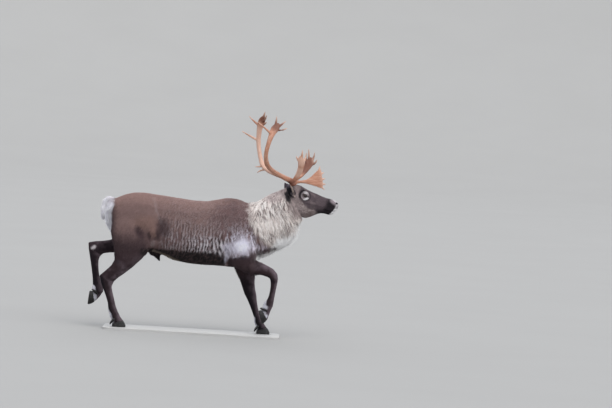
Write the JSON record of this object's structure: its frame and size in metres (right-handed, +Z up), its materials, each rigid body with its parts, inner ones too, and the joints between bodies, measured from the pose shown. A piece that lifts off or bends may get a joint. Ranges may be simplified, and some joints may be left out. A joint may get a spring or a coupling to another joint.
{
  "type": "reindeer bull model",
  "caption": "Life-size still model of a reindeer bull at a trot, with full antlers, pale neck mane and dark legs, standing on a flat display base.",
  "frame": {"origin": "middle of the whole model's bounding box, on the underside of the display base", "axes": "+X towards the animal's nose, +Y towards its left side, +Z up"},
  "size_m": [2.1168, 0.7116, 1.9123],
  "materials": {
    "coat": "dense grey-brown hair",
    "mane": "long pale hair in locks",
    "antler": "satin bone, salmon brown",
    "hoof": "smooth black horn",
    "eye": "wet gloss",
    "stand": "matte grey paint"
  },
  "bodies": {
    "root": {"antler_left_beam_high": "antler", "antler_left_beam_low": "antler", "antler_left_bez": "antler", "antler_left_brow": "antler", "antler_left_palm": "antler", "antler_right_beam_high": "antler", "antler_right_beam_low": "antler", "antler_right_bez": "antler", "antler_right_brow": "antler", "antler_right_palm": "antler", "ear_left": "coat", "ear_right": "coat", "eye_left": "eye", "eye_right": "eye", "fore_left_cannon": "coat", "fore_left_dewclaw_l": "hoof", "fore_left_dewclaw_r": "hoof", "fore_left_pastern": "coat", "fore_left_toe_l": "hoof", "fore_left_toe_r": "hoof", "fore_left_upper": "coat", "fore_right_cannon": "coat", "fore_right_dewclaw_l": "hoof", "fore_right_dewclaw_r": "hoof", "fore_right_pastern": "coat", "fore_right_toe_l": "hoof", "fore_right_toe_r": "hoof", "fore_right_upper": "coat", "head": "coat", "hind_left_cannon": "coat", "hind_left_dewclaw_l": "hoof", "hind_left_dewclaw_r": "hoof", "hind_left_pastern": "coat", "hind_left_toe_l": "hoof", "hind_left_toe_r": "hoof", "hind_left_upper": "coat", "hind_right_cannon": "coat", "hind_right_dewclaw_l": "hoof", "hind_right_dewclaw_r": "hoof", "hind_right_pastern": "coat", "hind_right_toe_l": "hoof", "hind_right_toe_r": "hoof", "hind_right_upper": "coat", "neck": "mane", "stand_base": "stand", "tail": "mane", "torso": "coat"}
  },
  "joints": []
}
